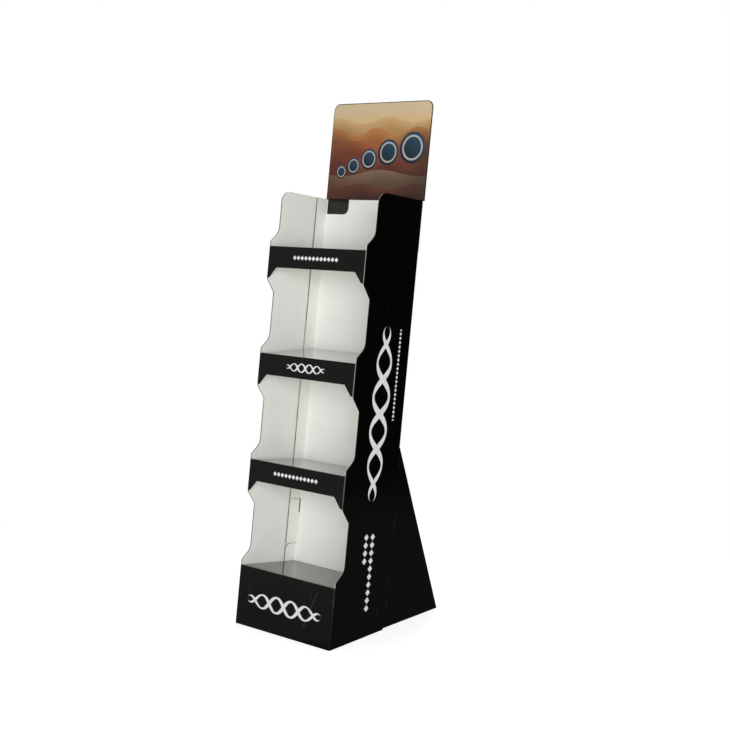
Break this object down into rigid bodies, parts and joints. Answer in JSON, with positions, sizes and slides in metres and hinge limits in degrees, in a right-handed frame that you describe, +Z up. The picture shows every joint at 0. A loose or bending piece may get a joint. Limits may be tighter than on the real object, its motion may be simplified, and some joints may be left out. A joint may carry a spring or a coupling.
{
  "type": "cardboard display stand",
  "caption": "Tall leaning floor display folded from printed corrugated board, with open tiers behind low lips, a header card and a rear easel foot.",
  "frame": {"origin": "centre of the bounding box at floor level", "axes": "+Z up, +X across the stand to the right as a shopper faces it, +Y from the front to the rear"},
  "size_m": [0.364, 0.477, 1.4663],
  "materials": {
    "black_printed_board": "gloss varnished black print outside, plain white inside",
    "colour_printed_board": "satin varnished print in warm colours on the front, plain white behind"
  },
  "bodies": {
    "root": {"body_wrap": "black_printed_board", "rear_easel": "black_printed_board", "header_card": "colour_printed_board", "base_shelf": "black_printed_board", "lower_shelf": "black_printed_board", "middle_shelf": "black_printed_board", "top_shelf": "black_printed_board"}
  },
  "joints": []
}
